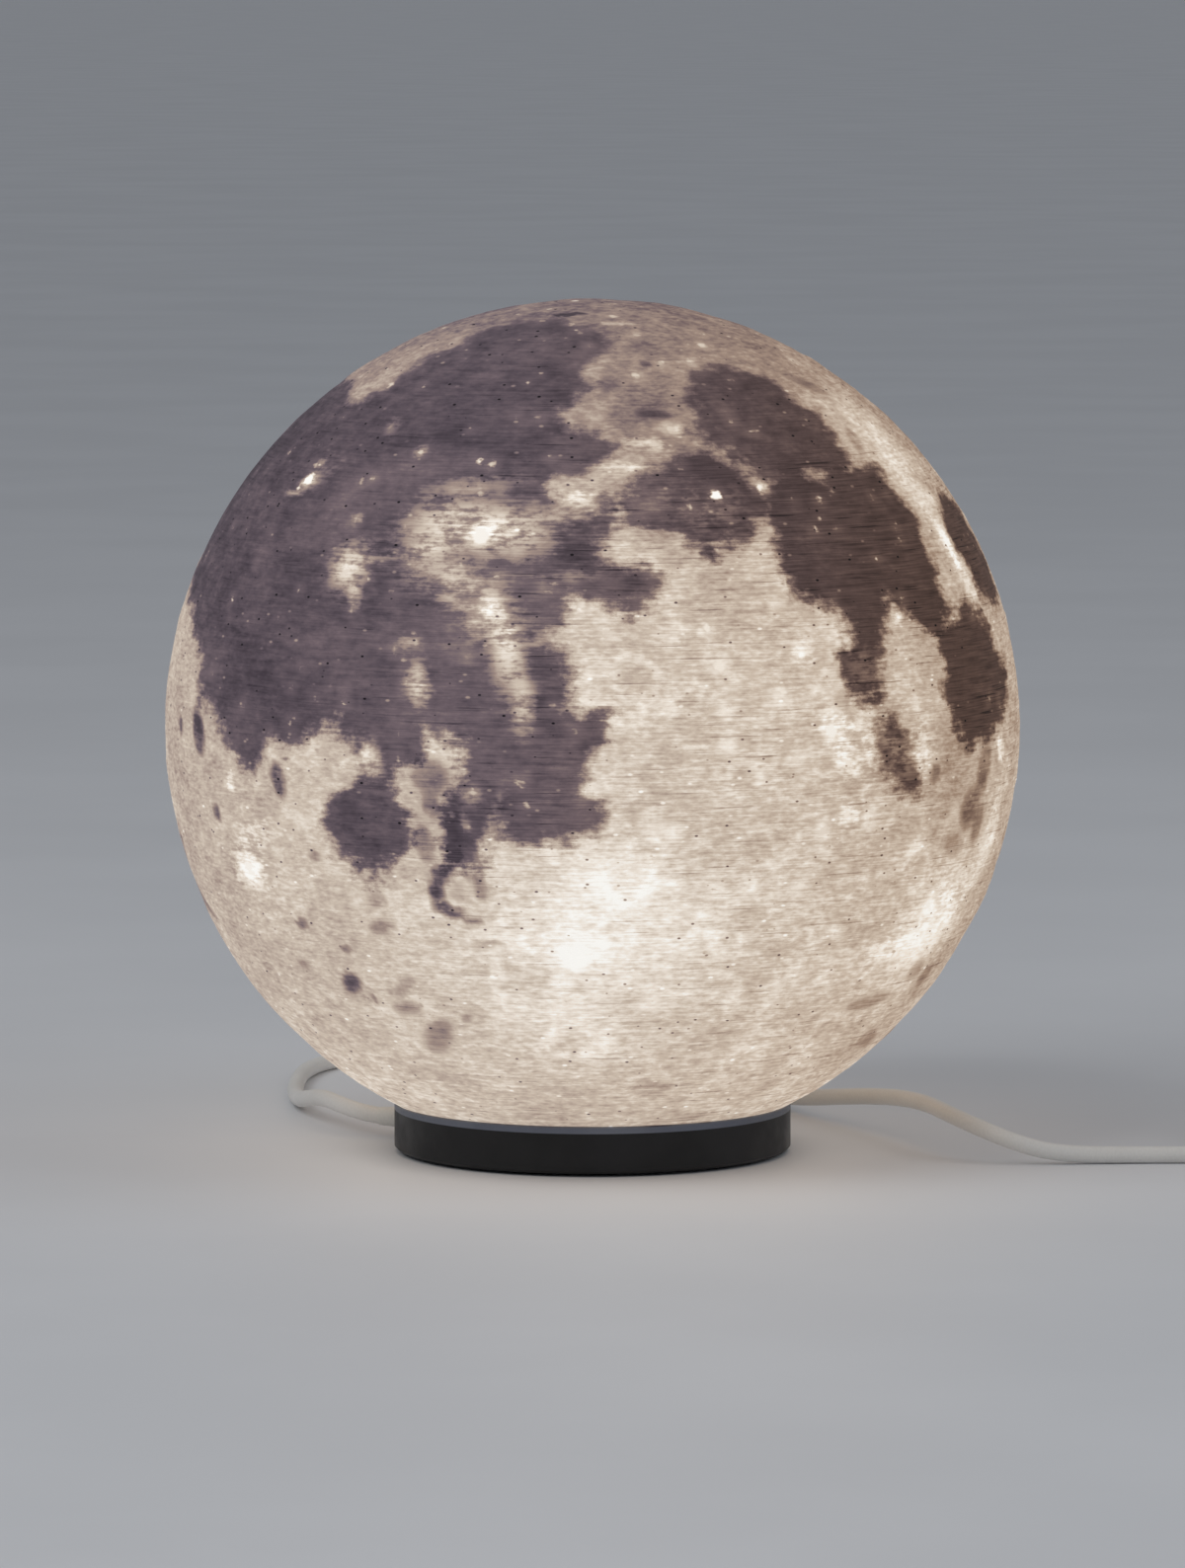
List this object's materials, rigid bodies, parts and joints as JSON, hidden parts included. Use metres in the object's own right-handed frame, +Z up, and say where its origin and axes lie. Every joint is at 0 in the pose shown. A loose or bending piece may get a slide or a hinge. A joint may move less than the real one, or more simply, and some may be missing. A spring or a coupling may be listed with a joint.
{
  "type": "moon lamp",
  "caption": "Table lamp: a thin printed globe with the Moon's relief, lit from inside, standing on a low round black base with a touch ring, with a thin white lead and plug.",
  "frame": {"origin": "centre of the base's underside, on the surface that the feet stand on", "axes": "+Z up along the axis of the base and the globe; -Y faces the viewer of the picture; +X to the right"},
  "size_m": [0.2421, 0.1989, 0.1502],
  "materials": {
    "printed_shell": "matt, printed in thin layers, lit from inside",
    "white_plastic": "moulded, satin",
    "touch_metal": "satin anodised grey",
    "black_plastic": "moulded, fine grain",
    "cover_plastic": "moulded, matt",
    "rubber": "matt",
    "steel": "zinc plated",
    "board": "solder mask on glass fibre",
    "chip": "moulded epoxy",
    "ferrite": "sintered",
    "ceramic": "fired, tinned ends",
    "contact": "gold plated",
    "heat_sink": "extruded and turned",
    "led_board": "white solder mask on aluminium",
    "led": "silicone with phosphor",
    "diffuser": "opal, satin outside",
    "wire": "coloured jackets",
    "lead": "satin white jacket",
    "plug_grip": "moulded, satin",
    "strap": "woven strap",
    "tongue": "moulded"
  },
  "bodies": {
    "base": {"touch_ring": "touch_metal", "base_housing": "black_plastic", "bottom_cover": "cover_plastic", "rubber_feet": "rubber", "cover_screws": "steel", "main_board": "board", "board_screws": "steel", "touch_chip": "chip", "board_inductor": "ferrite", "board_capacitors": "ceramic", "touch_contact": "contact", "led_turret": "white_plastic", "turret_screws": "steel", "heat_sink": "heat_sink", "led_board": "led_board", "leds": "led", "led_board_screws": "steel", "diffuser_cap": "diffuser", "supply_wires": "wire", "lead_grommet": "lead", "lead_cores": "wire", "lead_run": "lead", "lead_coil": "lead", "coil_tie": "strap", "lead_tail": "lead", "plug_body": "plug_grip", "plug_shell": "steel", "plug_tongue": "tongue", "plug_contacts": "contact"},
    "globe": {"moon_globe": "printed_shell", "globe_collar": "white_plastic"}
  },
  "joints": [
    {"name": "globe_lift", "type": "slide", "parent": "base", "child": "globe", "axis": [0, 0, 1], "range_m": [0, 0.045]}
  ]
}
